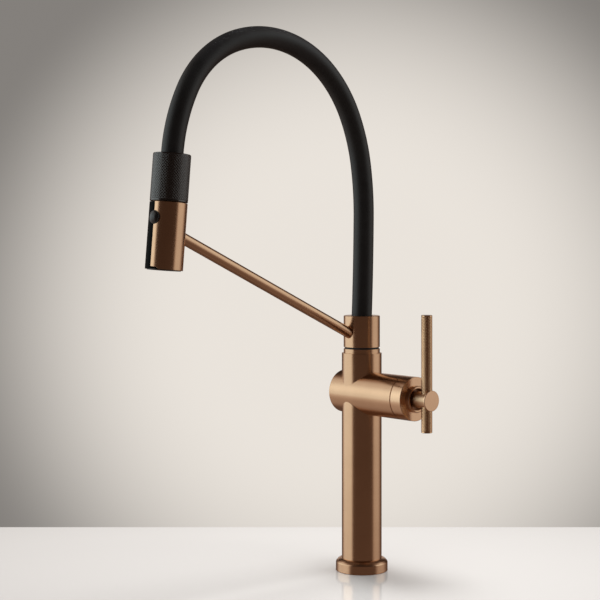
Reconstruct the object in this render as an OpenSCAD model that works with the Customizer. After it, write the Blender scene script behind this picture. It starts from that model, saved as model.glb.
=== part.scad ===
// Pull-down kitchen faucet: single-hole column, cross valve body, T-bar joystick lever,
// swivelling collar with a sloping docking arm, and a black hose arching to a spray head.
// Origin: centre of the column's foot on the worktop. +Z up, spout towards -Y, lever towards +X.

/* [Column] */
// Diameter of the column
column_d = 40; // [38:0.5:44]
// Diameter of the foot flange
flange_d = 52; // [48:1:60]
// Height of the foot flange
flange_h = 12.6; // [10:0.2:18]
// Height of the lever axis above the worktop
valve_z = 178.4; // [165:0.2:190]
// Thickness of the worktop that is clamped
deck_t = 30; // [20:1:45]

/* [Valve] */
// Diameter of the cross valve body
valve_d = 43; // [42:0.5:46]
// How far the body reaches past the column axis on the blind side
valve_back = 26; // [24:1:32]
// How far the body reaches on the lever side, up to the parting line
valve_front = 63; // [63:0.5:66]
// Height of the step at the top of the neck
neck_z = 218.5; // [216:0.5:222]

/* [Lever] */
// Overall length of the T-bar
bar_len = 113; // [90:1:130]
// Length of the T-bar above the lever axis
bar_up = 82; // [60:1:84]
// Diameter of the T-bar
bar_d = 10.7; // [9:0.1:11]
// Diameter of the lever hub
hub_d = 16; // [14:0.5:16]
// Diameter of the end disc
disc_d = 20; // [18:0.5:24]

/* [Spout] */
// Diameter of the swivel collar
collar_d = 36.4; // [34:0.2:38]
// Height of the top of the collar
collar_top = 256; // [254:0.5:262]
// Diameter of the hose sleeve
hose_d = 20.5; // [18:0.1:21]
// Diameter of the docking arm
arm_d = 10.6; // [9:0.1:11]
// Slope of the docking arm above horizontal
arm_slope = 25.1; // [24.5:0.1:25.5]

/* [Spray head] */
// Diameter of the knurled grip
grip_d = 34.6; // [34:0.1:36]
// Length of the knurled grip
grip_len = 43.5; // [40:0.5:48]
// Diameter of the metal shell
shell_d = 34.4; // [33.6:0.1:35]
// Overall length of the spray head
head_len = 105.5; // [100:0.5:115]
// Distance from the top of the grip down to the button
button_at = 58.7; // [55:0.5:64]

/* [Hidden] */
$fn = 96;
eps = 0.01;

column_r = column_d / 2;
bore_r = column_r - 3;
valve_r = valve_d / 2;
shank_r = 14;
cart_r = 17.4;
cart_x = 13;
pivot_x = 60 + cart_x;
bar_x = 92.3;
cap_end = 77.5;
boss_r = 13;
boss_end = cap_end + 3;
hub_start = 77.6;
groove_w = 0.9;
collar_r = collar_d / 2;
collar_z = neck_z + 6.1;
shell_r = shell_d / 2;
shell_gap = 0.9;
inlet_gap = 7.2;

// The arch of the hose: each bend is [angle, radius], taken in order from the collar
hose_bends = [[2, 2870], [10, 312], [16, 180], [21, 126], [64.5, 114], [42.5, 97], [21.5, 168]];
hose_lean = -2.5;
hose_root = 10.3;
hose_tail = 12;

// Point and heading at the end of bend k; the heading is measured from +Z towards -Y
function turned(k) = k < 0 ? hose_lean : turned(k - 1) + hose_bends[k][0];
function reached(k) = k < 0 ? [0, collar_top - 1] :
  let (a = turned(k - 1), b = turned(k), r = hose_bends[k][1])
  reached(k - 1) + r * [cos(a) - cos(b), sin(b) - sin(a)];
bends = len(hose_bends);
head_at = reached(bends - 1);
head_lean = 180 - turned(bends - 1);

// Places its children in the spray head's own frame: origin at the top of the grip, -Y outwards
module in_head() {
  translate([0, -head_at[0], head_at[1]])
    rotate([-head_lean, 0, 0])
      children();
}

// Places its children with +Z running out along the docking arm
module on_arm() {
  translate([0, 0, 231])
    rotate([90 - arm_slope, 0, 0])
      children();
}

// Places its children with +Z running out radially through the button
button_turn = 11;
module at_button() {
  in_head()
    translate([0, 0, -button_at])
      rotate([90, 0, button_turn])
        children();
}

module along_x() {
  translate([0, 0, valve_z])
    rotate([0, 90, 0])
      children();
}

// Places the cartridge, whose own zero lies cart_x along the cross tube
module along_cart() {
  translate([cart_x, 0, 0])
    along_x()
      children();
}

module ring(r_out, r_in, z0, z1) {
  difference() {
    translate([0, 0, z0])
      cylinder(r = r_out, h = z1 - z0);
    translate([0, 0, z0 - 1])
      cylinder(r = r_in, h = z1 - z0 + 2);
  }
}

// ---- foot and fixing ----

module base_flange() {
  r = flange_d / 2;
  color("#a9734a")
    rotate_extrude()
      difference() {
        polygon([
          [column_r, 0], [r - 0.4, 0], [r, 0.4], [r, flange_h - 4.1], [r - 0.5, flange_h - 3.1],
          [r - 1.5, flange_h - 1.9], [r - 2.9, flange_h - 0.8], [r - 4.4, flange_h - 0.1],
          [r - 4.9, flange_h], [column_r, flange_h]
        ]);
        translate([22, -1])
          square([2.4, 2.2]);
      }
}

module deck_gasket() {
  color("#222222")
    ring(24.3, 22.1, 0, 1.2);
}

module column_tube() {
  color("#a9734a")
    difference() {
      translate([0, 0, 0.6])
        cylinder(r = column_r, h = valve_z - 5.6);
      translate([0, 0, -1])
        cylinder(r = bore_r, h = valve_z);
      translate([-valve_back - 5, 0, 0])
        along_x()
          cylinder(r = valve_r, h = 80);
    }
}

module column_plug() {
  color("#c9a24a")
    ring(bore_r, shank_r, 1, 15);
}

module mounting_shank() {
  color("#c9a24a")
    rotate_extrude()
      union() {
        translate([12.2, -deck_t - 32])
          square([shank_r - 12.8, deck_t + 46]);
        translate([12.2, -deck_t - 31])
          square([shank_r - 12.2, deck_t + 45]);
      }
}

module horseshoe(r, t, z, gap) {
  translate([0, 0, z])
    difference() {
      cylinder(r = r, h = t);
      translate([0, 0, -1])
        cylinder(r = gap, h = t + 2);
      translate([-r - 1, -gap, -1])
        cube([r + 1, 2 * gap, t + 2]);
    }
}

module rubber_washer() {
  color("#222222")
    horseshoe(26, 3, -deck_t - 3, shank_r + 0.3);
}

module clamp_washer() {
  color("#b8bcc0")
    horseshoe(26, 2.5, -deck_t - 5.5, shank_r + 0.3);
}

module lock_nut() {
  color("#c9a24a")
    translate([0, 0, -deck_t - 15.5])
      difference() {
        cylinder(r = 23, h = 10, $fn = 6);
        translate([0, 0, -1])
          cylinder(r = shank_r, h = 12);
      }
}

// ---- valve body and swivel seat ----

module valve_body() {
  color("#a9734a")
    difference() {
      union() {
        // cross tube with a broken edge at the blind end
        translate([-valve_back, 0, 0])
          along_x()
            cylinder(r1 = valve_r - 0.6, r2 = valve_r, h = 0.6);
        translate([-valve_back + 0.6, 0, 0])
          along_x()
            cylinder(r = valve_r, h = valve_back + valve_front - 0.6);
        // threaded nose under the cap ring
        translate([valve_front - 1, 0, 0])
          along_x()
            cylinder(r = valve_r - 0.9, h = 13);
        // neck, seat ring and the plug inside the column
        translate([0, 0, valve_z])
          cylinder(r = column_r, h = neck_z - valve_z);
        translate([0, 0, neck_z - 1])
          cylinder(r = collar_r, h = 5.3);
        translate([0, 0, valve_z - 30])
          cylinder(r = bore_r, h = 30);
      }
      // cartridge chamber
      translate([28, 0, 0])
        along_cart()
          cylinder(r = cart_r + 0.1, h = 60);
      // hot and cold inlets
      for (s = [-1, 1]) {
        translate([0, s * inlet_gap, valve_z - 31])
          cylinder(r = 4.5, h = 13);
        translate([0, s * inlet_gap, valve_z - 20])
          cylinder(r = 3, h = 16);
        translate([-1, s * inlet_gap, -6])
          along_x()
            cylinder(r = 3, h = 30 + cart_x);
      }
      // mixed water up to the spout
      translate([-1, 0, 8])
        along_x()
          cylinder(r = 3.5, h = 30 + cart_x);
      translate([0, 0, valve_z + 6])
        cylinder(r = 5, h = 60);
      translate([0, 0, neck_z - 14])
        cylinder(r = 9, h = 30);
    }
}

module swivel_spigot() {
  color("#c9a24a")
    difference() {
      union() {
        translate([0, 0, neck_z - 14])
          cylinder(r = 9, h = 19);
        translate([0, 0, neck_z + 4.5])
          cylinder(r = 12, h = 16.5);
      }
      translate([0, 0, neck_z - 15])
        cylinder(r = 6, h = 60);
      // two o-ring grooves and the groove of the locking screw
      for (z = [8.5, 17.5])
        ring(13, 10.2, neck_z + z - 1.3, neck_z + z + 1.3);
      ring(13, 10.4, neck_z + 11.2, neck_z + 14.8);
    }
}

module spigot_o_rings() {
  color("#222222")
    for (z = [8.5, 17.5])
      translate([0, 0, neck_z + z])
        rotate_extrude()
          translate([11.1, 0])
            circle(r = 0.88, $fn = 32);
}

module swivel_washer() {
  color("#1c1c1c")
    ring(collar_r - 1, 12.1, neck_z + 4.3, neck_z + 6);
}

// ---- mixing cartridge, modelled along its own axis ----

module cartridge_seal() {
  color("#222222")
    along_cart()
      difference() {
        translate([0, 0, 28])
          cylinder(r = 16.5, h = 2);
        ports(27, 4, 4);
      }
}

module ports(z, h, r) {
  for (s = [-1, 1])
    translate([6, s * inlet_gap, z])
      cylinder(r = r, h = h);
  translate([-8, 0, z])
    cylinder(r = r, h = h);
}

module cartridge_housing() {
  color("#e8e4da")
    along_cart()
      difference() {
        union() {
          translate([0, 0, 30])
            cylinder(r = cart_r, h = 26);
          translate([0, 0, 50])
            cylinder(r = 13, h = 12.2);
        }
        ports(29, 5, 3);
        translate([0, 0, 33])
          cylinder(r = 14, h = 22);
        translate([0, 0, 54])
          cylinder(r = 11.5, h = 20);
      }
}

module ceramic_fixed_disc() {
  color("#f2efe8")
    along_cart()
      difference() {
        translate([0, 0, 33])
          cylinder(r = 13.9, h = 4.5);
        ports(32, 7, 2.8);
      }
}

module ceramic_moving_disc() {
  color("#f2efe8")
    along_cart()
      difference() {
        translate([0, 0, 37.55])
          cylinder(r = 9.4, h = 3.6);
        translate([0, 0, 37])
          cylinder(r = 5, h = 2);
      }
}

module disc_driver() {
  color("#7d8791")
    along_cart()
      difference() {
        translate([0, 0, 41.15])
          cylinder(r = 9.4, h = 5.85);
        translate([0, 0, 42.4])
          cylinder(r = 3.8, h = 8);
      }
}

module cartridge_carrier() {
  color("#d9d4c6")
    difference() {
      along_cart()
        union() {
          translate([0, 0, 47.3])
            cylinder(r = 13.8, h = 7.5);
          translate([0, 0, 54])
            cylinder(r = 11.3, h = 8.2);
        }
      // slot in which the stem tilts
      translate([40 + cart_x, -4.3, valve_z - 8.4])
        cube([16, 8.6, 16.8]);
      translate([50 + cart_x, -4.3, valve_z - 6.6])
        cube([20, 8.6, 13.2]);
      translate([pivot_x, 0, valve_z])
        rotate([90, 0, 0])
          cylinder(r = 1.5, h = 40, center = true);
    }
}

module pivot_pin() {
  color("#b8bcc0")
    translate([pivot_x, 0, valve_z])
      rotate([90, 0, 0])
        cylinder(r = 1.5, h = 21, center = true);
}

module lever_stem() {
  color("#c9a24a")
    difference() {
      along_cart()
        union() {
          translate([0, 0, 45.1])
            sphere(r = 2.5);
          translate([0, 0, 45.1])
            cylinder(r = 2.5, h = 5);
          translate([0, 0, 50])
            cylinder(r = 4, h = 34 - cart_x);
        }
      translate([pivot_x, 0, valve_z])
        rotate([90, 0, 0])
          cylinder(r = 1.55, h = 20, center = true);
      translate([76, 0, 0])
        along_x()
          cylinder(r = 2, h = 12);
    }
}

module cartridge_nut() {
  color("#c9a24a")
    difference() {
      along_cart()
        ring(cart_r, 13.2, 56.1, 62);
      // wrench slots
      for (a = [0, 90])
        translate([61.5 + cart_x, 0, valve_z])
          rotate([a, 0, 0])
            cube([4, 3, 40], center = true);
    }
}

module cap_ring() {
  hole_r = 10.5;
  web = 75.4;
  color("#a9734a")
    along_x()
      rotate_extrude()
        polygon([
          [valve_r - 0.8, valve_front + groove_w], [valve_r - 0.2, valve_front + groove_w],
          [valve_r, valve_front + groove_w + 0.2], [valve_r, cap_end - 0.3],
          [valve_r - 0.3, cap_end], [boss_r, cap_end],
          [boss_r, boss_end - 0.9], [boss_r - 0.9, boss_end], [hole_r + 0.4, boss_end],
          [hole_r, boss_end - 0.4], [hole_r, web], [valve_r - 0.8, web]
        ]);
}

// ---- lever ----

module lever_hub() {
  color("#a9734a")
    difference() {
      along_x()
        union() {
          translate([0, 0, hub_start])
            cylinder(r1 = hub_d / 2 - 0.5, r2 = hub_d / 2, h = 0.5);
          translate([0, 0, hub_start + 0.5])
            cylinder(r = hub_d / 2, h = 96.9 - hub_start);
        }
      along_x()
        translate([0, 0, hub_start - 1])
          cylinder(r = 4, h = 85 - hub_start);
      along_x()
        translate([0, 0, 80])
          cylinder(r = 2.1, h = 10);
      along_x()
        translate([0, 0, 94.5])
          cylinder(r = 3.8, h = 10);
      translate([bar_x, 0, valve_z - 20])
        cylinder(r = bar_d / 2, h = 40);
    }
}

module lever_bar() {
  color("#a9734a")
    difference() {
      translate([bar_x, 0, valve_z + bar_up - bar_len])
        union() {
          cylinder(r1 = bar_d / 2 - 0.4, r2 = bar_d / 2, h = 0.4);
          translate([0, 0, 0.4])
            cylinder(r = bar_d / 2, h = bar_len - 0.8);
          translate([0, 0, bar_len - 0.4])
            cylinder(r1 = bar_d / 2, r2 = bar_d / 2 - 0.4, h = 0.4);
        }
      along_x()
        translate([0, 0, 80])
          cylinder(r = 2.1, h = 20);
      along_x()
        translate([0, 0, 94.5])
          cylinder(r = 3.8, h = 10);
      // flat under the end disc
      translate([97.4, -20, valve_z - disc_d / 2 - 0.5])
        cube([5, 40, disc_d + 1]);
    }
}

module handle_screw() {
  color("#b8bcc0")
    along_x()
      difference() {
        union() {
          translate([0, 0, 76.5])
            cylinder(r = 2, h = 19);
          translate([0, 0, 94.5])
            cylinder(r = 3.6, h = 2.6);
        }
        translate([0, 0, 95.5])
          cylinder(r = 1.6, h = 4, $fn = 6);
      }
}

module end_disc() {
  color("#a9734a")
    along_x()
      union() {
        translate([0, 0, 97.4])
          cylinder(r = disc_d / 2, h = 1.5);
        translate([0, 0, 98.9])
          cylinder(r1 = disc_d / 2, r2 = disc_d / 2 - 0.3, h = 0.3);
      }
}

// ---- swivelling collar and docking arm ----

module swivel_collar() {
  color("#a9734a")
    difference() {
      union() {
        translate([0, 0, collar_z])
          cylinder(r = collar_r, h = collar_top - collar_z - 0.4);
        translate([0, 0, collar_top - 0.4])
          cylinder(r1 = collar_r, r2 = collar_r - 0.4, h = 0.4);
      }
      translate([0, 0, collar_z - 1])
        cylinder(r = 12.05, h = 17);
      translate([0, 0, collar_z + 10])
        cylinder(r = 4, h = 20);
      // socket of the hose
      translate([0, 0, collar_z + 17.4])
        cylinder(r = 10.9, h = 30);
      // socket of the arm, a little wider at its mouth
      on_arm()
        translate([0, 0, 15.5])
          cylinder(r = arm_d / 2, h = 20);
      on_arm()
        translate([0, 0, 18.5])
          cylinder(r = arm_d / 2 + 0.6, h = 20);
      // locking screw at the back
      translate([0, 11, neck_z + 13])
        rotate([-90, 0, 0])
          cylinder(r = 2, h = 20);
    }
}

module collar_set_screw() {
  color("#55585c")
    translate([0, 0, neck_z + 13])
      rotate([-90, 0, 0])
        difference() {
          translate([0, 0, 10.8])
            cylinder(r = 1.7, h = 6.4);
          translate([0, 0, 15])
            cylinder(r = 0.9, h = 4, $fn = 6);
        }
}

module support_arm() {
  color("#a9734a")
    difference() {
      on_arm()
        translate([0, 0, 15.5])
          cylinder(r = arm_d / 2, h = 240);
      in_head()
        translate([0, 0, -200])
          cylinder(r = shell_r + 0.4, h = 250);
      in_head()
        translate([-50, -100, -200])
          cube([100, 100, 300]);
      on_arm()
        translate([0, 0, 240.5])
          cylinder(r = 4, h = 20);
    }
}

module dock_magnet() {
  color("#c8ccd0")
    difference() {
      on_arm()
        translate([0, 0, 240.5])
          cylinder(r = 4, h = 10);
      in_head()
        translate([0, 0, -200])
          cylinder(r = shell_r + 0.7, h = 250);
      in_head()
        translate([-50, -100, -200])
          cube([100, 100, 300]);
    }
}

module hose_base_ferrule() {
  color("#c9a24a")
    translate([0, 0, collar_z])
      difference() {
        union() {
          translate([0, 0, 16.2])
            cylinder(r = 3.95, h = 3);
          translate([0, 0, 17.5])
            cylinder(r = 10.8, h = 2);
          translate([0, 0, 19])
            cylinder(r = 3, h = 6);
        }
        translate([0, 0, 10])
          cylinder(r = 2.4, h = 20);
      }
}

// ---- hose ----

// One round rod along the arch. The bends are joined by short straight beads a hair wider.
bead = 0.03;

module arch(r, root, tail) {
  translate([0, 0, collar_top - 1])
    rotate([hose_lean, 0, 0]) {
      translate([0, 0, -root])
        cylinder(r = r + bead, h = root + 1);
      arch_from(0, r, tail);
    }
}

module arch_from(k, r, tail) {
  if (k < bends) {
    a = hose_bends[k][0];
    b = hose_bends[k][1];
    skip = 0.5 / b * 180 / PI;
    translate([0, -b, 0]) {
      rotate([90, 0, 90])
        rotate([0, 0, skip])
          rotate_extrude(angle = a - 2 * skip)
            translate([b, 0])
              circle(r = r);
      rotate([a, 0, 0])
        translate([0, b, 0]) {
          if (k < bends - 1)
            translate([0, 0, -1])
              cylinder(r = r + bead, h = 2);
          arch_from(k + 1, r, tail);
        }
    }
  } else {
    translate([0, 0, -1])
      cylinder(r = r + bead, h = tail + 1);
  }
}

module arch_tube(r_out, r_in, root, tail) {
  difference() {
    arch(r_out, root, tail);
    arch(r_in, root + 1, tail + 1);
  }
}

module hose_sleeve() {
  color("#1b1b1c")
    arch_tube(hose_d / 2, 8.2, hose_root, hose_tail);
}

// Interlocked steel conduit that holds the arch up
module hose_conduit() {
  color("#b8bcc0")
    arch_tube(7.7, 6.2, hose_root - 0.5, hose_tail - 0.5);
}

module hose_core() {
  color("#8d9296")
    arch_tube(5.4, 3.5, hose_root - 1.5, hose_tail - 0.2);
}

module hose_head_ferrule() {
  color("#c9a24a")
    in_head()
      difference() {
        union() {
          translate([0, 0, -22.4])
            cylinder(r = 11.5, h = 9.9);
          translate([0, 0, -13])
            cylinder(r = 3.3, h = 8);
        }
        translate([0, 0, -30])
          cylinder(r = 2.4, h = 40);
      }
}

// ---- spray head, built hanging down from the top of its grip ----

module grip_sleeve() {
  r = grip_d / 2;
  color("#1b1b1c")
    in_head()
      rotate_extrude()
        polygon([
          [hose_d / 2 + 0.5, 0], [r - 0.5, 0], [r, -0.5], [r, 0.5 - grip_len], [r - 0.5, -grip_len],
          [14.4, -grip_len], [14.4, -3], [hose_d / 2 + 0.5, -3]
        ]);
}

module check_valve() {
  color("#3f6fb0")
    in_head()
      difference() {
        translate([0, 0, -34])
          cylinder(r = 6, h = 11.4);
        translate([0, 0, -40])
          cylinder(r = 3, h = 30);
      }
}

module head_core() {
  color("#202022")
    difference() {
      in_head()
        difference() {
          union() {
            translate([0, 0, -grip_len])
              cylinder(r = 14.3, h = grip_len - 22.5);
            translate([0, 0, -grip_len - 2])
              cylinder(r = 15.2, h = 2);
            translate([0, 0, -head_len + 4.6])
              cylinder(r = shell_r - 1.9, h = head_len - 4.6 - grip_len - shell_gap);
          }
          // waterway with the seat of the check valve
          translate([0, 0, -34])
            cylinder(r = 6.05, h = 20);
          translate([0, 0, -75])
            cylinder(r = 3.2, h = 50);
          translate([0, 0, -head_len])
            cylinder(r = 12.5, h = 14);
          translate([0, 0, -92])
            cylinder(r = 3.2, h = 20);
          // pocket of the docking keeper
          translate([0, 11.4, -74])
            rotate([-90, 0, 0])
              cylinder(r = 5.05, h = 10);
        }
      // button pocket and the bore of the diverter spool
      at_button()
        translate([0, 0, 11.4])
          cylinder(r = 6.2, h = 10);
      at_button()
        translate([0, 0, -9])
          cylinder(r = 1.8, h = 30);
    }
}

strip_from = 10;
strip_to = -46;

module strip_wedge(a0, a1, r) {
  rotate([0, 0, -90])
    rotate([0, 0, a1])
      rotate_extrude(angle = a0 - a1)
        translate([r - 4, -head_len - 0.4])
          square([6, head_len + 0.4 - grip_len]);
}

// Slanted foot of the front strip, which runs under the shell's rim beside the strip
module strip_foot() {
  rotate([90, 0, 0])
    translate([0, -head_len, 8])
      linear_extrude(12)
        polygon([[1, -1], [11.6, -1], [10.4, 0.9], [8.4, 2.5], [1, 2.9]]);
}

module head_shell() {
  color("#a9734a")
    difference() {
      in_head()
        difference() {
          ring(shell_r, shell_r - 1.8, -head_len + 0.6, -grip_len - shell_gap);
          strip_wedge(strip_from, strip_to, shell_r);
          strip_foot();
        }
      at_button()
        translate([0, 0, 10])
          cylinder(r = 6.15, h = 20);
    }
}

module front_strip() {
  color("#161617")
    difference() {
      in_head()
        intersection() {
          ring(shell_r, shell_r - 1.8, -head_len + 0.6, -grip_len - shell_gap);
          union() {
            strip_wedge(strip_from - 0.2, strip_to + 0.2, shell_r);
            strip_foot();
          }
        }
      at_button()
        translate([0, 0, 10])
          cylinder(r = 6.15, h = 20);
    }
}

module spray_button() {
  color("#161617")
    at_button()
      union() {
        translate([0, 0, 14])
          cylinder(r = 5.9, h = 3.6);
        // shallow dome
        intersection() {
          translate([0, 0, 17.5])
            cylinder(r = 5.9, h = 4);
          translate([0, 0, 19.4 - 9.8])
            sphere(r = 9.8);
        }
      }
}

module diverter_spool() {
  color("#c9a24a")
    at_button()
      union() {
        translate([0, 0, -5])
          cylinder(r = 1.7, h = 16);
        translate([0, 0, 10.5])
          cylinder(r = 1.7, h = 3.5);
      }
}

// Return spring under the button
module button_spring() {
  turns = 3;
  steps = 14;
  n = turns * steps;
  pts = [
    for (i = [0:n])
      let (w = i * 360 / steps, z = 11.75 + i / n * 1.9)
      for (j = [0:5])
        let (q = j * 60, r = 4 + 0.25 * cos(q))
        [r * cos(w), r * sin(w), z + 0.25 * sin(q)]
  ];
  sides = [
    for (i = [0:n - 1])
      for (j = [0:5])
        let (a = i * 6 + j, b = i * 6 + (j + 1) % 6)
        [a, a + 6, b + 6, b]
  ];
  first = [for (j = [0:5]) j];
  last = [for (j = [5:-1:0]) n * 6 + j];
  color("#b8bcc0")
    at_button()
      polyhedron(points = pts, faces = concat(sides, [first, last]));
}

module dock_keeper() {
  color("#9aa0a6")
    in_head()
      translate([0, 11.5, -74])
        rotate([-90, 0, 0])
          cylinder(r = 5, h = 2.9);
}

module aerator() {
  color("#2a2a2c")
    in_head()
      difference() {
        translate([0, 0, -head_len + 0.3])
          cylinder(r = 6.5, h = 6);
        for (a = [0:60:300])
          rotate([0, 0, a])
            translate([3.6, 0, -head_len - 1])
              cylinder(r = 1, h = 9);
        translate([0, 0, -head_len - 1])
          cylinder(r = 1, h = 9);
      }
}

module nozzle_face() {
  color("#1b1b1c")
    in_head()
      difference() {
        union() {
          translate([0, 0, -head_len])
            cylinder(r = shell_r - 1.9, h = 4.5);
          translate([0, 0, -head_len + 4])
            cylinder(r = 12.4, h = 3);
        }
        translate([0, 0, -head_len - 1])
          cylinder(r = 6.6, h = 12);
        for (a = [0:30:330])
          rotate([0, 0, a])
            translate([9.8, 0, -head_len - 1])
              cylinder(r = 0.6, h = 12);
      }
}

module nozzle_seal() {
  color("#5a1f1f")
    in_head()
      ring(12.3, 10.8, -head_len + 7.1, -head_len + 8.6);
}

base_flange();
deck_gasket();
column_tube();
column_plug();
mounting_shank();
rubber_washer();
clamp_washer();
lock_nut();
valve_body();
swivel_spigot();
spigot_o_rings();
swivel_washer();
cartridge_seal();
cartridge_housing();
ceramic_fixed_disc();
ceramic_moving_disc();
disc_driver();
cartridge_carrier();
pivot_pin();
lever_stem();
cartridge_nut();
cap_ring();
lever_hub();
lever_bar();
handle_screw();
end_disc();
swivel_collar();
collar_set_screw();
support_arm();
dock_magnet();
hose_base_ferrule();
hose_sleeve();
hose_conduit();
hose_core();
hose_head_ferrule();
grip_sleeve();
check_valve();
head_core();
head_shell();
front_strip();
spray_button();
diverter_spool();
button_spring();
dock_keeper();
aerator();
nozzle_face();
nozzle_seal();
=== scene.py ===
import math

import bmesh
import bpy
from mathutils import Matrix, Vector


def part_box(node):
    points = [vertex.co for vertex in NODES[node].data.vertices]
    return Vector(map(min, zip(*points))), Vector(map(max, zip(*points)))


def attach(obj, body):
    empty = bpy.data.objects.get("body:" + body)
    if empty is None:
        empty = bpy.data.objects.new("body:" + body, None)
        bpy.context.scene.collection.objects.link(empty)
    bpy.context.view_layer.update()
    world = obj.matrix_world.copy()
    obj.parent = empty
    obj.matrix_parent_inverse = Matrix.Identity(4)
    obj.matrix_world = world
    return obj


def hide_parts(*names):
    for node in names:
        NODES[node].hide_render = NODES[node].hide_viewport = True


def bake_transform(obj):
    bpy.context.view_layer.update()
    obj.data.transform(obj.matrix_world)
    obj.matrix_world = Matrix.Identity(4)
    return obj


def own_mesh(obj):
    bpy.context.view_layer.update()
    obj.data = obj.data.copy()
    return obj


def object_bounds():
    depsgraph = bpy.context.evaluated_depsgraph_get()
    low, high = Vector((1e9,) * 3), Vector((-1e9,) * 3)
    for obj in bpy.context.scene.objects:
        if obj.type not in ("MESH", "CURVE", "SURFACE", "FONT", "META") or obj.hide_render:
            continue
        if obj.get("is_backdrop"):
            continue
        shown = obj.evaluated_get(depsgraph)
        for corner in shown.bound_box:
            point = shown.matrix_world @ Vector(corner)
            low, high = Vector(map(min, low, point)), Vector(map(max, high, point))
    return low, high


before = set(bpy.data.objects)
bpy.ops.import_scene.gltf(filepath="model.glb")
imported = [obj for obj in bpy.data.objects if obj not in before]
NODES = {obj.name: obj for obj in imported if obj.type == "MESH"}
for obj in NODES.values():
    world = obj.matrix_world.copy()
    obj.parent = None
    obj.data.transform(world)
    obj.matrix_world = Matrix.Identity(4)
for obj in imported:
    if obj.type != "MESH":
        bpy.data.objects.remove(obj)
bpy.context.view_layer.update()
MM = 0.001

# ---------------------------------------------------------------- directions and places

VIEW_AZIMUTH = math.radians(50)  # where the photo was taken from, turned from -Y towards +X
RIGHT = Vector((math.cos(VIEW_AZIMUTH), math.sin(VIEW_AZIMUTH), 0))
TOWARDS = Vector((math.sin(VIEW_AZIMUTH), -math.cos(VIEW_AZIMUTH), 0))
UP = Vector((0, 0, 1))
AXIS_X = Vector((1, 0, 0))


def middle(node):
    lo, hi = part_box(node)
    return (lo + hi) / 2


COLUMN_AT = (0, 0, 0)
VALVE_AT = (0, 0, middle("cap_ring").z)
ARM_SLOPE = math.radians(25.1)
ARM_AXIS = Vector((0, -math.cos(ARM_SLOPE), math.sin(ARM_SLOPE)))
ARM_AT = Vector((0, 0, 231 * MM))

# the arch of the hose: (angle in degrees, radius in mm) of each bend, from the collar up
HOSE_BENDS = [(2, 2870), (10, 312), (16, 180), (21, 126), (64.5, 114), (42.5, 97), (21.5, 168)]
HOSE_LEAN = -2.5
HOSE_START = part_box("swivel_collar")[1].z - 1 * MM


def ahead(heading):
    """The direction along the hose, for a heading turned from +Z towards -Y."""
    return Vector((0, -math.sin(heading), math.cos(heading)))


def inwards(heading):
    """The direction square to the hose, towards the inside of its arch."""
    return Vector((0, -math.cos(heading), -math.sin(heading)))


def hose_line(root, tail, step):
    """Centreline points and headings of the hose, with root and tail lengths run on straight."""
    heading = math.radians(HOSE_LEAN)
    point = Vector((0, 0, HOSE_START))
    line = []
    count = max(1, round(root / step))
    for i in range(count):
        line.append((point - ahead(heading) * root * (1 - i / count), heading))
    for angle, radius in HOSE_BENDS:
        turn, r = math.radians(angle), radius * MM
        count = max(2, round(turn * r / step))
        centre = point + inwards(heading) * r
        for i in range(count):
            a = heading + turn * i / count
            line.append((centre - inwards(a) * r, a))
        heading += turn
        point = centre - inwards(heading) * r
    count = max(1, round(tail / step))
    for i in range(count + 1):
        line.append((point + ahead(heading) * tail * i / count, heading))
    return line, point, heading


_, HEAD_AT, HEAD_HEADING = hose_line(1 * MM, 1 * MM, 10 * MM)
HEAD_AXIS = ahead(HEAD_HEADING)
HEAD_MATRIX = Matrix.Translation(HEAD_AT) @ Matrix.Rotation(HEAD_HEADING - math.pi, 4, "X")

# ---------------------------------------------------------------- sizes

TUBE_R = 21.5 * MM  # the valve body's cross tube
TUBE_SKIN = 0.5 * MM  # what lies within this of the tube's radius is the tube's own surface
NECK_REACH = 24 * MM  # the neck lies within this of the column's axis, along the tube

BAR_AT = middle("lever_bar")
BAR_R = (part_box("lever_bar")[1].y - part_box("lever_bar")[0].y) / 2
BAR_TEETH = 12

GRIP_R, GRIP_LEN, GRIP_BORE = 17.3 * MM, 43.5 * MM, 14.4 * MM
GRIP_HOLE_R, GRIP_ROOF = 10.75 * MM, 3 * MM  # the hole for the hose, and the thickness of the top
GRIP_KNURL_TOP = -1.3 * MM  # where the knurl ends, measured from the top of the grip
GRIP_TEETH = 40

KNURL_DEPTH = 0.17 * MM
KNURL_SHOULDER = 0.15  # of the depth, from the land down, that still looks like land
KNURL_STEPS = 6  # mesh steps across one diamond; its flat land takes all but one on each side
KNURL_CREASE = 14  # degrees; sharper edges of a knurled piece stay sharp
KNURL_END = 1.6 * MM  # from the end of the bar or the foot of the grip to its knurl
LAND_SINK, RIM_SINK = 0.05 * MM, 0.02 * MM  # how far the plain land beside a knurl lies below it

# ---------------------------------------------------------------- camera

CAMERA_DISTANCE, CAMERA_LEFT, CAMERA_HEIGHT = 1.46096, 0.0622166, 0.33904  # metres from the foot

camera_data = bpy.data.cameras.new("camera")
camera = bpy.data.objects.new("camera", camera_data)
bpy.context.scene.collection.objects.link(camera)
camera_data.sensor_width = 36
camera_data.lens = 87
camera_data.shift_y = -0.111666667  # the camera looks level, with most of the faucet below its height
camera_data.clip_start = 0.05
camera.location = TOWARDS * CAMERA_DISTANCE - RIGHT * CAMERA_LEFT + UP * CAMERA_HEIGHT
camera.rotation_mode = "QUATERNION"
camera.rotation_quaternion = (-TOWARDS).to_track_quat("-Z", "Y")
bpy.context.scene.camera = camera

# ---------------------------------------------------------------- node helpers

MIX_SOCKETS = {
    "RGBA": ("A_Color", "B_Color", "Result_Color"),
    "FLOAT": ("A_Float", "B_Float", "Result_Float"),
    "VECTOR": ("A_Vector", "B_Vector", "Result_Vector"),
}


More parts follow.
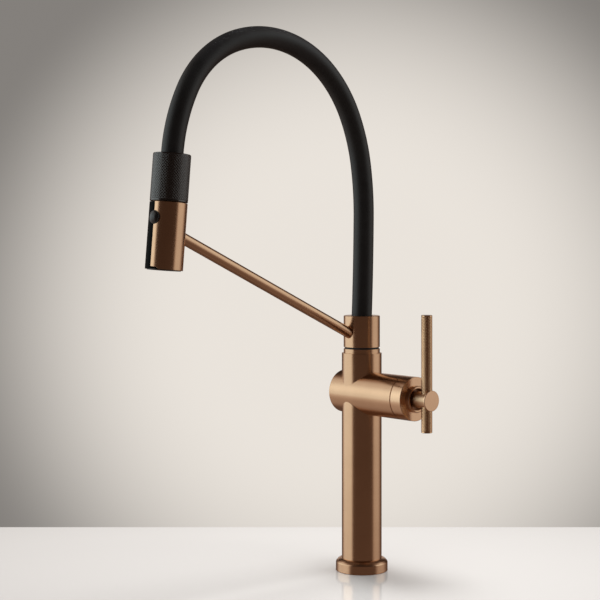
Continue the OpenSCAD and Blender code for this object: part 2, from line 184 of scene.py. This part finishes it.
class Tree:
    """A short way to write a node tree."""

    def __init__(self, tree):
        self.tree = tree
        tree.nodes.clear()

    def add(self, kind, inputs=None, **props):
        node = self.tree.nodes.new(kind)
        for key, value in props.items():
            setattr(node, key, value)
        for key, value in (inputs or {}).items():
            self.put(node.inputs[key], value)
        return node

    def put(self, socket, value):
        if isinstance(value, bpy.types.NodeSocket):
            self.tree.links.new(value, socket)
        elif isinstance(value, (tuple, list)) and socket.type == "RGBA":
            socket.default_value = (*value[:3], 1)
        else:
            socket.default_value = value

    def math(self, operation, a, b=0.0, clamp=False):
        return self.add("ShaderNodeMath", {0: a, 1: b}, operation=operation, use_clamp=clamp).outputs[0]

    def weigh(self, a, share_a, b, share_b):
        """The sum of a and b, each times its share."""
        return self.math("ADD", self.math("MULTIPLY", a, share_a), self.math("MULTIPLY", b, share_b))

    def vector(self, operation, a, b=(0, 0, 0), out="Vector"):
        return self.add("ShaderNodeVectorMath", {0: a, 1: b}, operation=operation).outputs[out]

    def dot(self, a, b):
        return self.vector("DOT_PRODUCT", a, b, out="Value")

    def scale(self, a, factor):
        return self.add("ShaderNodeVectorMath", {0: a, "Scale": factor}, operation="SCALE").outputs[0]

    def split(self, a):
        node = self.add("ShaderNodeSeparateXYZ", {0: a})
        return node.outputs[0], node.outputs[1], node.outputs[2]

    def join(self, x, y, z):
        return self.add("ShaderNodeCombineXYZ", {0: x, 1: y, 2: z}).outputs[0]

    def span(self, value, lo, hi, to_lo=0.0, to_hi=1.0, smooth=True):
        node = self.add(
            "ShaderNodeMapRange",
            {0: value, 1: lo, 2: hi, 3: to_lo, 4: to_hi},
            interpolation_type="SMOOTHSTEP" if smooth else "LINEAR",
        )
        return node.outputs[0]

    def ramp(self, value, lo, hi, stops):
        """A grey level read from stops of (value, level), for a value from lo to hi. Levels may pass 1."""
        top = max(level for _, level in stops)
        node = self.add("ShaderNodeValToRGB", {0: self.span(value, lo, hi, smooth=False)})
        points = node.color_ramp.elements
        while len(points) < len(stops):
            points.new(0.5)
        for point, (at, level) in zip(points, stops):
            point.position = (at - lo) / (hi - lo)
            point.color = (level / top,) * 3 + (1,)
        return self.math("MULTIPLY", node.outputs[0], top)

    def noise(self, place, scale, detail, rough=0.5):
        inputs = {"Vector": place, "Scale": scale, "Detail": detail, "Roughness": rough}
        return self.add("ShaderNodeTexNoise", inputs).outputs[0]

    def mix(self, factor, a, b, kind="RGBA"):
        node = self.add("ShaderNodeMix", data_type=kind)
        name_a, name_b, result = MIX_SOCKETS[kind]
        sockets = {s.identifier: s for s in node.inputs}
        self.put(sockets["Factor_Float"], factor)
        self.put(sockets[name_a], a)
        self.put(sockets[name_b], b)
        return next(s for s in node.outputs if s.identifier == result)

    def place(self):
        return self.add("ShaderNodeTexCoord").outputs["Object"]

    def bump(self, height, strength, distance, normal):
        inputs = {"Height": height, "Strength": strength, "Distance": distance, "Normal": normal}
        return self.add("ShaderNodeBump", inputs).outputs[0]

    def surface(self, inputs):
        """The principled shader with these inputs, as the material's surface."""
        shader = self.add("ShaderNodeBsdfPrincipled", inputs)
        self.add("ShaderNodeOutputMaterial", {0: shader.outputs[0]})


def new_material(name):
    material = bpy.data.materials.new(name)
    material.use_nodes = True
    return material, Tree(material.node_tree)


def local(t, origin, axis):
    """Object coordinates turned so that Z is the part's axis, and the direction round that axis."""
    moved = t.vector("SUBTRACT", t.place(), tuple(origin))
    euler = Vector(axis).rotation_difference(UP).to_euler()
    turned = t.add("ShaderNodeMapping", {"Vector": moved, "Rotation": tuple(euler)}).outputs[0]
    around = t.vector("CROSS_PRODUCT", tuple(axis), moved)
    return turned, around


def from_axis(t, turned):
    x, y, _ = t.split(turned)
    return t.vector("LENGTH", t.join(x, y, 0.0), out="Value")


LATHE_COARSE, LATHE_FINE = 70.0, 5200.0  # scale of the lines across the axis, and from line to line


def lathe_grain(t, turned):
    """Coordinates for noise stretched round the axis: the fine circular lines of a turned part."""
    x, y, z = t.split(turned)
    along = t.math("MULTIPLY", t.math("ADD", z, from_axis(t, turned)), LATHE_FINE)
    return t.join(t.math("MULTIPLY", x, LATHE_COARSE), t.math("MULTIPLY", y, LATHE_COARSE), along)


def edge_mask(t, radius, lo, hi):
    """About 1 along the part's edges and 0 on its faces, and the softened normal."""
    soft = t.add("ShaderNodeBevel", {"Radius": radius}, samples=4).outputs[0]
    plain = t.add("ShaderNodeNewGeometry").outputs["Normal"]
    return t.span(t.math("SUBTRACT", 1.0, t.dot(soft, plain)), lo, hi), soft


def land_mask(t, turned, radius):
    """0 at the bottom of a knurl's grooves and 1 on its lands, for a knurl of this outer radius."""
    return t.span(from_axis(t, turned), radius - KNURL_DEPTH, radius - KNURL_DEPTH * KNURL_SHOULDER)


# ---------------------------------------------------------------- metals

# the metal's tone, the tone of its clouds, and the tone of its worn edges
BRONZE = ((0.66, 0.42, 0.262), (0.715, 0.458, 0.288), (0.86, 0.62, 0.43))
# a lighter copy of the same bronze: painted light that brightens the cap, the end disc and the lever
LIT_BRONZE = ((0.72, 0.465, 0.295), (0.77, 0.50, 0.32), (0.88, 0.65, 0.46))
# a much lighter copy of the same bronze: painted light that brightens the lever hub
LIT_HUB_BRONZE = ((0.86, 0.58, 0.36), (0.90, 0.62, 0.39), (0.94, 0.70, 0.50))
# a lighter copy of the same bronze: painted light that brightens the knurled T-bar
LIT_BAR_BRONZE = ((0.85, 0.56, 0.33), (0.89, 0.60, 0.36), (0.93, 0.68, 0.46))
DARK_BRONZE = ((0.10, 0.065, 0.045), (0.14, 0.09, 0.06), (0.25, 0.16, 0.10))
CARTRIDGE_BRONZE = ((0.20, 0.12, 0.08), (0.26, 0.16, 0.105), (0.4, 0.26, 0.17))
BRASS = ((0.62, 0.44, 0.17), (0.72, 0.52, 0.22), (0.85, 0.68, 0.36))
STEEL = ((0.46, 0.47, 0.48), (0.58, 0.59, 0.60), (0.75, 0.76, 0.77))
# the dark tone of a knurl's grooves: painted shade in the grooves
GROOVE_SHADE_BRONZE = (0.36, 0.20, 0.115)

METAL_EDGE = 0.35 * MM  # how far in from an edge its wear shows
METAL_BUMP, METAL_RELIEF = 0.02, 0.06 * MM
METAL_SPREAD = 0.06  # between the smoothest and the roughest of the metal
WORN_POLISH = 0.06  # how much smoother a worn edge is


def finish_metal(t, turned, lined, around, colours, rough, wear=0.5, anisotropic=0.35, knurl_radius=None):
    tone, cloud_tone, worn_tone = colours
    place = t.place()
    grain = t.noise(lined, 1.0, 3.0, 0.6)
    cloud = t.noise(place, 38.0, 3.0, 0.55)
    speck = t.noise(place, 900.0, 2.0, 0.6)
    edge, soft = edge_mask(t, METAL_EDGE, 0.02, 0.25)
    base = t.mix(t.span(t.weigh(cloud, 0.6, grain, 0.4), 0.35, 0.65), tone, cloud_tone)
    worn = t.math("MULTIPLY", edge, t.span(speck, 0.35, 0.6), clamp=True)
    base = t.mix(t.math("MULTIPLY", worn, wear), base, worn_tone)
    if knurl_radius:
        # painted shade: the knurl's grooves are darkened, its lands keep the metal's tone
        base = t.mix(land_mask(t, turned, knurl_radius), GROOVE_SHADE_BRONZE, base)
    uneven = t.math("MULTIPLY", t.weigh(grain, 0.7, cloud, 0.3), METAL_SPREAD)
    roughness = t.math("ADD", rough - METAL_SPREAD / 2, uneven)
    roughness = t.math("SUBTRACT", roughness, t.math("MULTIPLY", worn, WORN_POLISH))
    tangent = t.add(
        "ShaderNodeVectorTransform",
        {0: around},
        vector_type="VECTOR",
        convert_from="OBJECT",
        convert_to="WORLD",
    )
    t.surface({
        "Base Color": base,
        "Metallic": 1.0,
        "Roughness": roughness,
        "Anisotropic": anisotropic,
        "Anisotropic Rotation": 0.25,
        "Tangent": t.vector("NORMALIZE", tangent.outputs[0]),
        "Normal": t.bump(grain, METAL_BUMP, METAL_RELIEF, soft),
    })


def lathed(name, origin, axis, colours=BRONZE, rough=0.25, **more):
    """The metal of a part turned about one axis."""
    material, t = new_material(name)
    turned, around = local(t, origin, axis)
    finish_metal(t, turned, lathe_grain(t, turned), around, colours, rough, **more)
    return material


def crossed(name):
    """The valve body is turned about two axes: the cross tube about X, and the neck about Z."""
    material, t = new_material(name)
    tube, round_tube = local(t, VALVE_AT, AXIS_X)
    neck, round_neck = local(t, COLUMN_AT, UP)
    off_tube = t.math("ABSOLUTE", t.math("SUBTRACT", from_axis(t, tube), TUBE_R))
    along_tube = t.math("ABSOLUTE", t.split(tube)[2])
    on_neck = t.math(
        "MULTIPLY",
        t.math("GREATER_THAN", off_tube, TUBE_SKIN),
        t.math("LESS_THAN", along_tube, NECK_REACH),
    )
    lined = t.mix(on_neck, lathe_grain(t, tube), lathe_grain(t, neck), "VECTOR")
    around = t.mix(on_neck, round_tube, round_neck, "VECTOR")
    finish_metal(t, tube, lined, around, BRONZE, 0.25)
    return material


# ---------------------------------------------------------------- rubber, plastic, coatings and ceramic

SKIN_EDGE = 0.3 * MM
SKIN_RELIEF = 0.05 * MM
SKIN_SPREAD = 0.12
SKIN_WEAR = 0.35
GROOVE_ROUGH = 0.35


def grey(level):
    return (level, level, level)


def moulded(name, dark, light, rough, bump=0.25, grain=2600.0, wear=grey(0.10), ior=1.5, knurl=None):
    """A part that isn't bare metal, with a fine skin texture. knurl is its origin, axis and radius."""
    material, t = new_material(name)
    place = t.place()
    skin = t.noise(place, grain, 3.0, 0.6)
    cloud = t.noise(place, 60.0, 3.0, 0.55)
    edge, soft = edge_mask(t, SKIN_EDGE, 0.02, 0.3)
    base = t.mix(t.span(t.weigh(skin, 0.4, cloud, 0.6), 0.35, 0.65), dark, light)
    base = t.mix(t.math("MULTIPLY", edge, SKIN_WEAR), base, wear)
    uneven = t.math("MULTIPLY", t.weigh(skin, 0.5, cloud, 0.5), SKIN_SPREAD)
    roughness = t.math("ADD", rough - SKIN_SPREAD / 2, uneven)
    if knurl:
        origin, axis, radius = knurl
        turned, _ = local(t, origin, axis)
        roughness = t.mix(land_mask(t, turned, radius), GROOVE_ROUGH, roughness, "FLOAT")
    normal = t.bump(skin, bump, SKIN_RELIEF, soft)
    t.surface({"Base Color": base, "Roughness": roughness, "IOR": ior, "Normal": normal})
    return material


# ---------------------------------------------------------------- materials


def dress(material, *names):
    for name in names:
        data = NODES[name].data
        if not data.materials:
            data.materials.append(material)
        for i in range(len(data.materials)):
            data.materials[i] = material


bronze_z = lathed("bronze_column", COLUMN_AT, UP)
# the lever and the cap take the lighter copy of the bronze, which is painted light
bronze_x = lathed("bronze_lever", VALVE_AT, AXIS_X, LIT_BRONZE)
# the hub takes the much lighter copy of the bronze, which is painted light
bronze_hub = lathed("bronze_hub", VALVE_AT, AXIS_X, LIT_HUB_BRONZE, 0.33, anisotropic=0.75)
bronze_cap = lathed("bronze_cap", VALVE_AT, AXIS_X, LIT_BRONZE, 0.23)
bronze_valve = crossed("bronze_valve")
bronze_arm = lathed("bronze_arm", ARM_AT, ARM_AXIS)
bronze_head = lathed("bronze_head", HEAD_AT, HEAD_AXIS, BRONZE, 0.24)
# the knurled bar takes the lighter copy of the bronze, which is painted light, and its grooves are painted
# darker
bronze_knurl = lathed(
    "bronze_knurl", (BAR_AT.x, 0, 0), UP, LIT_BAR_BRONZE, 0.14,
    anisotropic=0.1, wear=0.8, knurl_radius=BAR_R,
)
brass_z = lathed("brass_column", COLUMN_AT, UP, BRASS, 0.32)
brass_head = lathed("brass_head", HEAD_AT, HEAD_AXIS, BRASS, 0.32)
dark_cartridge = lathed("dark_cartridge", VALVE_AT, AXIS_X, CARTRIDGE_BRONZE, 0.4)
dark_head = lathed("blackened_head_core", HEAD_AT, HEAD_AXIS, DARK_BRONZE, 0.4)
steel_z = lathed("steel_fixing", COLUMN_AT, UP, STEEL, 0.34)
steel_x = lathed("steel_screw", VALVE_AT, AXIS_X, STEEL, 0.30)
steel_head = lathed("steel_head", HEAD_AT, HEAD_AXIS, STEEL, 0.30)
hose_rubber = moulded(
    "hose_silicone", (0.0045, 0.0045, 0.0047), (0.0065, 0.0065, 0.0068), 0.48,
    bump=0.30, grain=1900.0, wear=grey(0.03),
)
seal_rubber = moulded("seal_rubber", grey(0.010), grey(0.018), 0.6)
grip_black = moulded(
    "grip_anodised", (0.0008, 0.0008, 0.0009), (0.0016, 0.0016, 0.0017), 0.16,
    bump=0.06, grain=4000.0, wear=grey(0.01), ior=1.9, knurl=(HEAD_AT, HEAD_AXIS, GRIP_R),
)
strip_black = moulded(
    "strip_black", grey(0.0015), grey(0.0025), 0.35,
    bump=0.08, grain=3000.0, wear=grey(0.01), ior=1.07,
)
gloss_black = moulded(
    "gloss_black", grey(0.0025), grey(0.004), 0.24,
    bump=0.04, grain=3000.0, wear=grey(0.015), ior=1.55,
)
white_plastic = moulded("white_plastic", (0.62, 0.62, 0.60), (0.70, 0.70, 0.68), 0.4)
ceramic = moulded("ceramic", (0.78, 0.76, 0.70), (0.84, 0.82, 0.77), 0.12, bump=0.03, ior=1.7)

dress(bronze_z, "base_flange", "column_tube", "swivel_collar")
dress(bronze_valve, "valve_body")
dress(bronze_cap, "cap_ring")
dress(bronze_x, "end_disc")
dress(bronze_hub, "lever_hub")
dress(bronze_knurl, "lever_bar")
dress(bronze_arm, "support_arm")
dress(bronze_head, "head_shell")
dress(brass_z, "column_plug", "mounting_shank", "lock_nut", "swivel_spigot", "hose_base_ferrule")
dress(brass_head, "hose_head_ferrule", "diverter_spool")
dress(dark_head, "head_core")
dress(steel_z, "clamp_washer", "collar_set_screw")
dress(steel_x, "pivot_pin", "lever_stem", "handle_screw")
dress(steel_head, "button_spring", "dock_keeper", "dock_magnet")
dress(seal_rubber, "deck_gasket", "rubber_washer", "spigot_o_rings", "swivel_washer")
dress(seal_rubber, "cartridge_seal", "nozzle_seal")
dress(strip_black, "front_strip")
dress(gloss_black, "spray_button")
dress(grip_black, "nozzle_face", "aerator", "grip_sleeve")
dress(white_plastic, "cartridge_housing", "check_valve", "disc_driver")
dress(dark_cartridge, "cartridge_nut", "cartridge_carrier")
dress(ceramic, "ceramic_fixed_disc", "ceramic_moving_disc")

# ---------------------------------------------------------------- mesh helpers


def make_mesh(name, points, faces, material, smooth=False):
    mesh = bpy.data.meshes.new(name)
    mesh.from_pydata([tuple(p) for p in points], [], faces)
    mesh.validate()
    bm = bmesh.new()
    bm.from_mesh(mesh)
    bmesh.ops.recalc_face_normals(bm, faces=bm.faces)
    bm.to_mesh(mesh)
    bm.free()
    mesh.materials.append(material)
    for p in mesh.polygons:
        p.use_smooth = smooth
    obj = bpy.data.objects.new(name, mesh)
    bpy.context.scene.collection.objects.link(obj)
    return obj


def smooth_by_angle(obj, degrees):
    bm = bmesh.new()
    bm.from_mesh(obj.data)
    for f in bm.faces:
        f.smooth = True
    for e in bm.edges:
        e.smooth = not (len(e.link_faces) == 2 and e.calc_face_angle(0) > math.radians(degrees))
    bm.to_mesh(obj.data)
    bm.free()


def band(near, far, count):
    """The faces between two rings of count points, given the number of each ring's first point."""
    faces = []
    for m in range(count):
        n = (m + 1) % count
        faces.append((near + m, near + n, far + n, far + m))
    return faces


def in_groove(m, k):
    """Whether column m of a knurl's row k lies in one of its two sets of helical grooves."""
    return (m + k) % KNURL_STEPS == 0 or (m - k) % KNURL_STEPS == 0


def knurled(name, material, radius, teeth, z0, z1, ends, matrix):
    """A rod or sleeve about Z with a diamond knurl from z0 to z1, and plain turned profiles beyond it.

    ends is (below, above): lists of (radius, z) away from the knurl, up to the axis or into a bore."""
    columns = teeth * KNURL_STEPS
    pitch = 2 * math.pi * radius / teeth
    rows = round((z1 - z0) / (pitch / KNURL_STEPS))
    rows -= rows % KNURL_STEPS
    points, faces = [], []

    def ring(radii, z):
        start = len(points)
        for m, r in enumerate(radii):
            a = 2 * math.pi * m / columns
            points.append(Vector((r * math.cos(a), r * math.sin(a), z)))
        return start

    starts = []
    for k in range(rows + 1):
        at_rim = k in (0, rows)
        radii = [radius - KNURL_DEPTH if at_rim or in_groove(m, k) else radius for m in range(columns)]
        starts.append(ring(radii, z0 + (z1 - z0) * k / rows))
    for k in range(rows):
        for m in range(columns):
            n = (m + 1) % columns
            a, b = starts[k] + m, starts[k] + n
            c, d = starts[k + 1] + n, starts[k + 1] + m
            if (m + k) % 2:
                faces += [(a, b, d), (b, c, d)]
            else:
                faces += [(a, b, c), (a, c, d)]
    lasts = []
    for last, profile in zip((starts[0], starts[-1]), ends):
        for r, z in profile:
            if r > 0:
                new = ring([r] * columns, z)
                faces += band(last, new, columns)
                last = new
            else:
                tip = len(points)
                points.append(Vector((0, 0, z)))
                faces += [(last + m, last + (m + 1) % columns, tip) for m in range(columns)]
        lasts.append(last)
    # a sleeve's two profiles end on the same bore, so that they close on each other
    if ends[0][-1][0] > 0:
        faces += band(lasts[0], lasts[1], columns)
    obj = make_mesh(name, [matrix @ p for p in points], faces, material)
    smooth_by_angle(obj, KNURL_CREASE)
    return obj


def plain_end(radius, z, towards_knurl, land=1.5 * MM, bevel=0.4 * MM, cut=0.5 * MM):
    """The outline from a knurl to the face at z: a plain land, then a bevel. towards_knurl is 1 or -1."""
    return [
        (radius - LAND_SINK, z + towards_knurl * land),
        (radius - RIM_SINK, z + towards_knurl * bevel),
        (radius - cut, z),
    ]


def swept(name, material, line, walls, sides):
    """A tube along line. Its outer and inner walls are functions that give the radius at point i."""
    points, faces, starts = [], [], []
    count = len(line)
    for wall in walls:
        start = len(points)
        starts.append(start)
        for i, (p, heading) in enumerate(line):
            across = inwards(heading)
            r = wall(i)
            for m in range(sides):
                q = 2 * math.pi * m / sides
                points.append(p + (AXIS_X * math.cos(q) + across * math.sin(q)) * r)
        for i in range(count - 1):
            faces += band(start + i * sides, start + (i + 1) * sides, sides)
    outer, inner = starts
    for i in (0, count - 1):
        faces += band(outer + i * sides, inner + i * sides, sides)
    return make_mesh(name, points, faces, material, smooth=True)


# ---------------------------------------------------------------- the knurled T-bar

lo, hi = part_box("lever_bar")
bar = knurled(
    "t_bar_knurled", bronze_knurl, BAR_R, BAR_TEETH, lo.z + KNURL_END, hi.z - KNURL_END,
    (
        plain_end(BAR_R, lo.z, 1) + [(0, lo.z)],
        plain_end(BAR_R, hi.z, -1) + [(0, hi.z)],
    ),
    Matrix.Translation((BAR_AT.x, 0, 0)),
)
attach(bar, "lever")
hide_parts("lever_bar")

# ---------------------------------------------------------------- the knurled grip

grip_foot = plain_end(GRIP_R, -GRIP_LEN, 1, cut=0.45 * MM)
grip_foot += [(GRIP_BORE, -GRIP_LEN)]
grip_top = plain_end(GRIP_R, 0, -1, land=1.2 * MM, bevel=0.5 * MM)
grip_top += [(GRIP_HOLE_R, 0), (GRIP_HOLE_R, -GRIP_ROOF), (GRIP_BORE, -GRIP_ROOF)]
grip = knurled(
    "grip_knurled", grip_black, GRIP_R, GRIP_TEETH, -GRIP_LEN + KNURL_END, GRIP_KNURL_TOP,
    (grip_foot, grip_top), HEAD_MATRIX,
)
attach(grip, "spray_head")
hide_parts("grip_sleeve")

# ---------------------------------------------------------------- the return spring under the button

coil = bpy.data.objects.new("button_spring_coil", NODES["button_spring"].data.copy())
coil.matrix_world = NODES["button_spring"].matrix_world.copy()
bpy.context.scene.collection.objects.link(coil)
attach(coil, "spray_head")
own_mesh(coil)
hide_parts("button_spring")

# ---------------------------------------------------------------- the hose


def even(radius):
    return lambda i: radius


def ribbed(crest, valley):
    return lambda i: crest if i % 2 else valley


def hose_piece(name, material, root, tail, step, walls, node, sides):
    """One layer of the hose, swept along its arch from the collar to the spray head."""
    line, _, _ = hose_line(root, tail, step)
    piece = swept(name, material, line, walls, sides)
    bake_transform(piece)
    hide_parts(node)


hose_piece(
    "hose_sleeve_bent", hose_rubber, root=9.9 * MM, tail=11.6 * MM, step=1.6 * MM,
    walls=(even(10.22 * MM), even(8.25 * MM)), node="hose_sleeve", sides=64,
)
hose_piece(
    "hose_conduit_bent", steel_z, root=9.5 * MM, tail=11 * MM, step=1.2 * MM,
    walls=(ribbed(7.65 * MM, 7.35 * MM), ribbed(6.45 * MM, 6.25 * MM)),
    node="hose_conduit", sides=32,
)
hose_piece(
    "hose_core_bent", white_plastic, root=9.5 * MM, tail=11 * MM, step=3 * MM,
    walls=(even(5.35 * MM), even(3.55 * MM)), node="hose_core", sides=32,
)

# ---------------------------------------------------------------- floor

ACROSS = Matrix((RIGHT, -TOWARDS, UP)).transposed().to_4x4()
FLOOR_BACK, FLOOR_FRONT, FLOOR_SIDE, FLOOR_T = 0.21, 0.9, 1.0, 30 * MM
HOLE_R, HOLE_SIDES = 17.5 * MM, 96


def floor_white():
    material, t = new_material("floor_white")
    cloud = t.noise(t.place(), 3.0, 2.0)
    base = t.mix(cloud, (0.66, 0.65, 0.635), (0.70, 0.69, 0.675))
    t.surface({"Base Color": base, "Roughness": t.span(cloud, 0, 1, 0.08, 0.11, smooth=False), "IOR": 2.0})
    return material


def floor_edge(a):
    """The point of the worktop's edge at angle a round the hole."""
    x, y = math.cos(a), math.sin(a)
    reach = []
    if abs(x) > 1e-9:
        reach.append(FLOOR_SIDE / abs(x))
    if abs(y) > 1e-9:
        reach.append((FLOOR_BACK if y > 0 else FLOOR_FRONT) / abs(y))
    return x * min(reach), y * min(reach)


def floor_slab():
    """A worktop of the clamped thickness, with a hole for the shank.

    Its back edge lies square to the camera."""
    angles = {2 * math.pi * i / HOLE_SIDES for i in range(HOLE_SIDES)}
    for x in (-FLOOR_SIDE, FLOOR_SIDE):
        for y in (FLOOR_BACK, -FLOOR_FRONT):
            angles.add(math.atan2(y, x) % (2 * math.pi))
    angles = sorted(angles)
    points = []
    for z in (0, -FLOOR_T):
        points += [(HOLE_R * math.cos(a), HOLE_R * math.sin(a), z) for a in angles]
        points += [(*floor_edge(a), z) for a in angles]
    n = len(angles)
    hole, edge, low_hole, low_edge = 0, n, 2 * n, 3 * n
    faces = []
    for near, far in ((hole, edge), (low_hole, low_edge), (hole, low_hole), (edge, low_edge)):
        faces += band(near, far, n)
    slab = make_mesh("floor_slab", [ACROSS @ Vector(p) for p in points], faces, floor_white())
    slab.visible_glossy = False
    slab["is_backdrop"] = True


floor_slab()

# ---------------------------------------------------------------- light

# level of each soft panel, of the dim room and of the light behind, by the sine of the elevation
LEFT_PANEL = [
    (-1, 0.12), (-0.75, 0.18), (-0.68, 0.30), (-0.43, 0.35), (-0.26, 0.53), (-0.22, 0.62),
    (-0.18, 0.84), (-0.08, 0.90), (0.1, 1.1), (0.27, 1.15), (0.41, 0.94), (0.5, 0.76),
    (0.62, 0.80), (0.68, 0.42), (0.76, 0.08), (1, 0.05),
]
RIGHT_PANEL = [
    (-1, 0.10), (-0.6, 0.18), (-0.35, 0.20), (-0.23, 0.30), (-0.17, 0.58), (0, 0.66),
    (0.2, 0.76), (0.4, 0.90), (0.60, 0.80), (0.68, 0.40), (0.76, 0.08), (1, 0.05),
]
DIM = [(-1, 0.14), (-0.2, 0.125), (-0.1, 0.085), (0, 0.062), (0.3, 0.045), (1, 0.04)]
BEHIND = [(-1, 0.0), (-0.06, 0.0), (0.0, 0.5), (0.26, 0.5), (0.36, 0.0), (1, 0.0)]

# where each fades in or out, by the cosine of the bearing from the camera's side
LEFT_FRONT, LEFT_BACK = (0.60, 0.42), (-0.90, -0.50)
RIGHT_FRONT, RIGHT_BACK = (0.50, 0.27), (-0.80, -0.28)
BEHIND_EDGE = (-0.93, -0.97)

WARM_DIM, COOL_BRIGHT = (1.0, 0.64, 0.49), (1.0, 1.10, 1.10)
# the wall's tones: a painted pool of light in its middle, with painted shade towards its corners
WALL_CORNER, WALL_MIDDLE = (0.23, 0.215, 0.20), (0.82, 0.77, 0.71)
WALL_BRIGHTEST = (RIGHT * 0.03 - TOWARDS - UP * 0.055).normalized()
WALL_FADE = (0.962, 0.996)
SOFT_LIGHT = (0.50, 0.49, 0.48)  # the even light that diffuse surfaces get


def mirrored_room(w, ray):
    """What the metal mirrors: a soft panel on each side, a patch of light behind, and a dim room."""
    front = w.dot(ray, tuple(TOWARDS))
    right = w.dot(ray, tuple(RIGHT))
    rise = w.dot(ray, tuple(UP))
    level = w.math("SQRT", w.math("SUBTRACT", 1.0, w.math("MULTIPLY", rise, rise)))
    level = w.math("MAXIMUM", level, 0.02)
    cosine = w.math("DIVIDE", front, level)
    sine = w.math("DIVIDE", right, level)
    left_side = w.math("MULTIPLY", w.span(cosine, *LEFT_FRONT), w.span(cosine, *LEFT_BACK))
    right_side = w.math("MULTIPLY", w.span(cosine, *RIGHT_FRONT), w.span(cosine, *RIGHT_BACK))
    left_panel = w.math("MULTIPLY", left_side, w.ramp(rise, -1, 1, LEFT_PANEL))
    right_panel = w.math("MULTIPLY", right_side, w.ramp(rise, -1, 1, RIGHT_PANEL))
    panels = w.mix(w.math("GREATER_THAN", sine, 0.0), left_panel, right_panel, "FLOAT")
    behind = w.math("MULTIPLY", w.span(cosine, *BEHIND_EDGE), w.ramp(rise, -1, 1, BEHIND))
    strength = w.math("ADD", w.math("ADD", panels, behind), w.ramp(rise, -1, 1, DIM))
    tint = w.mix(w.span(strength, 0.08, 1.0, smooth=False), WARM_DIM, COOL_BRIGHT)
    return w.scale(tint, strength)


def pale_wall(w, ray):
    """What the camera sees behind the faucet: a wall with a painted pool of light, which darkens away from
    its brightest place.
    """
    near = w.span(w.dot(ray, tuple(WALL_BRIGHTEST)), *WALL_FADE)
    return w.mix(near, WALL_CORNER, WALL_MIDDLE)


def studio():
    world = bpy.data.worlds.new("studio")
    bpy.context.scene.world = world
    world.use_nodes = True
    w = Tree(world.node_tree)
    ray = w.add("ShaderNodeTexCoord").outputs["Generated"]
    path = w.add("ShaderNodeLightPath")
    colour = w.mix(path.outputs["Is Camera Ray"], mirrored_room(w, ray), pale_wall(w, ray))
    colour = w.mix(path.outputs["Is Diffuse Ray"], colour, SOFT_LIGHT)
    background = w.add("ShaderNodeBackground", {0: colour, 1: 1.0})
    w.add("ShaderNodeOutputWorld", {0: background.outputs[0]})


def softbox(name, at, size, watts):
    """A square lamp aimed at the faucet's foot, hidden from the camera and from reflections."""
    data = bpy.data.lights.new(name, "AREA")
    data.shape = "RECTANGLE"
    data.size = size
    data.size_y = size
    data.energy = watts
    light = bpy.data.objects.new(name, data)
    bpy.context.scene.collection.objects.link(light)
    light.location = at
    light.rotation_mode = "QUATERNION"
    light.rotation_quaternion = (-at).to_track_quat("-Z", "Y")
    light.visible_camera = False
    light.visible_glossy = False


studio()
softbox("overhead", RIGHT * 0.02 + UP * 0.85, 0.3, 8.5)

bpy.context.scene.view_settings.view_transform = "Standard"

lo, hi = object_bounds()
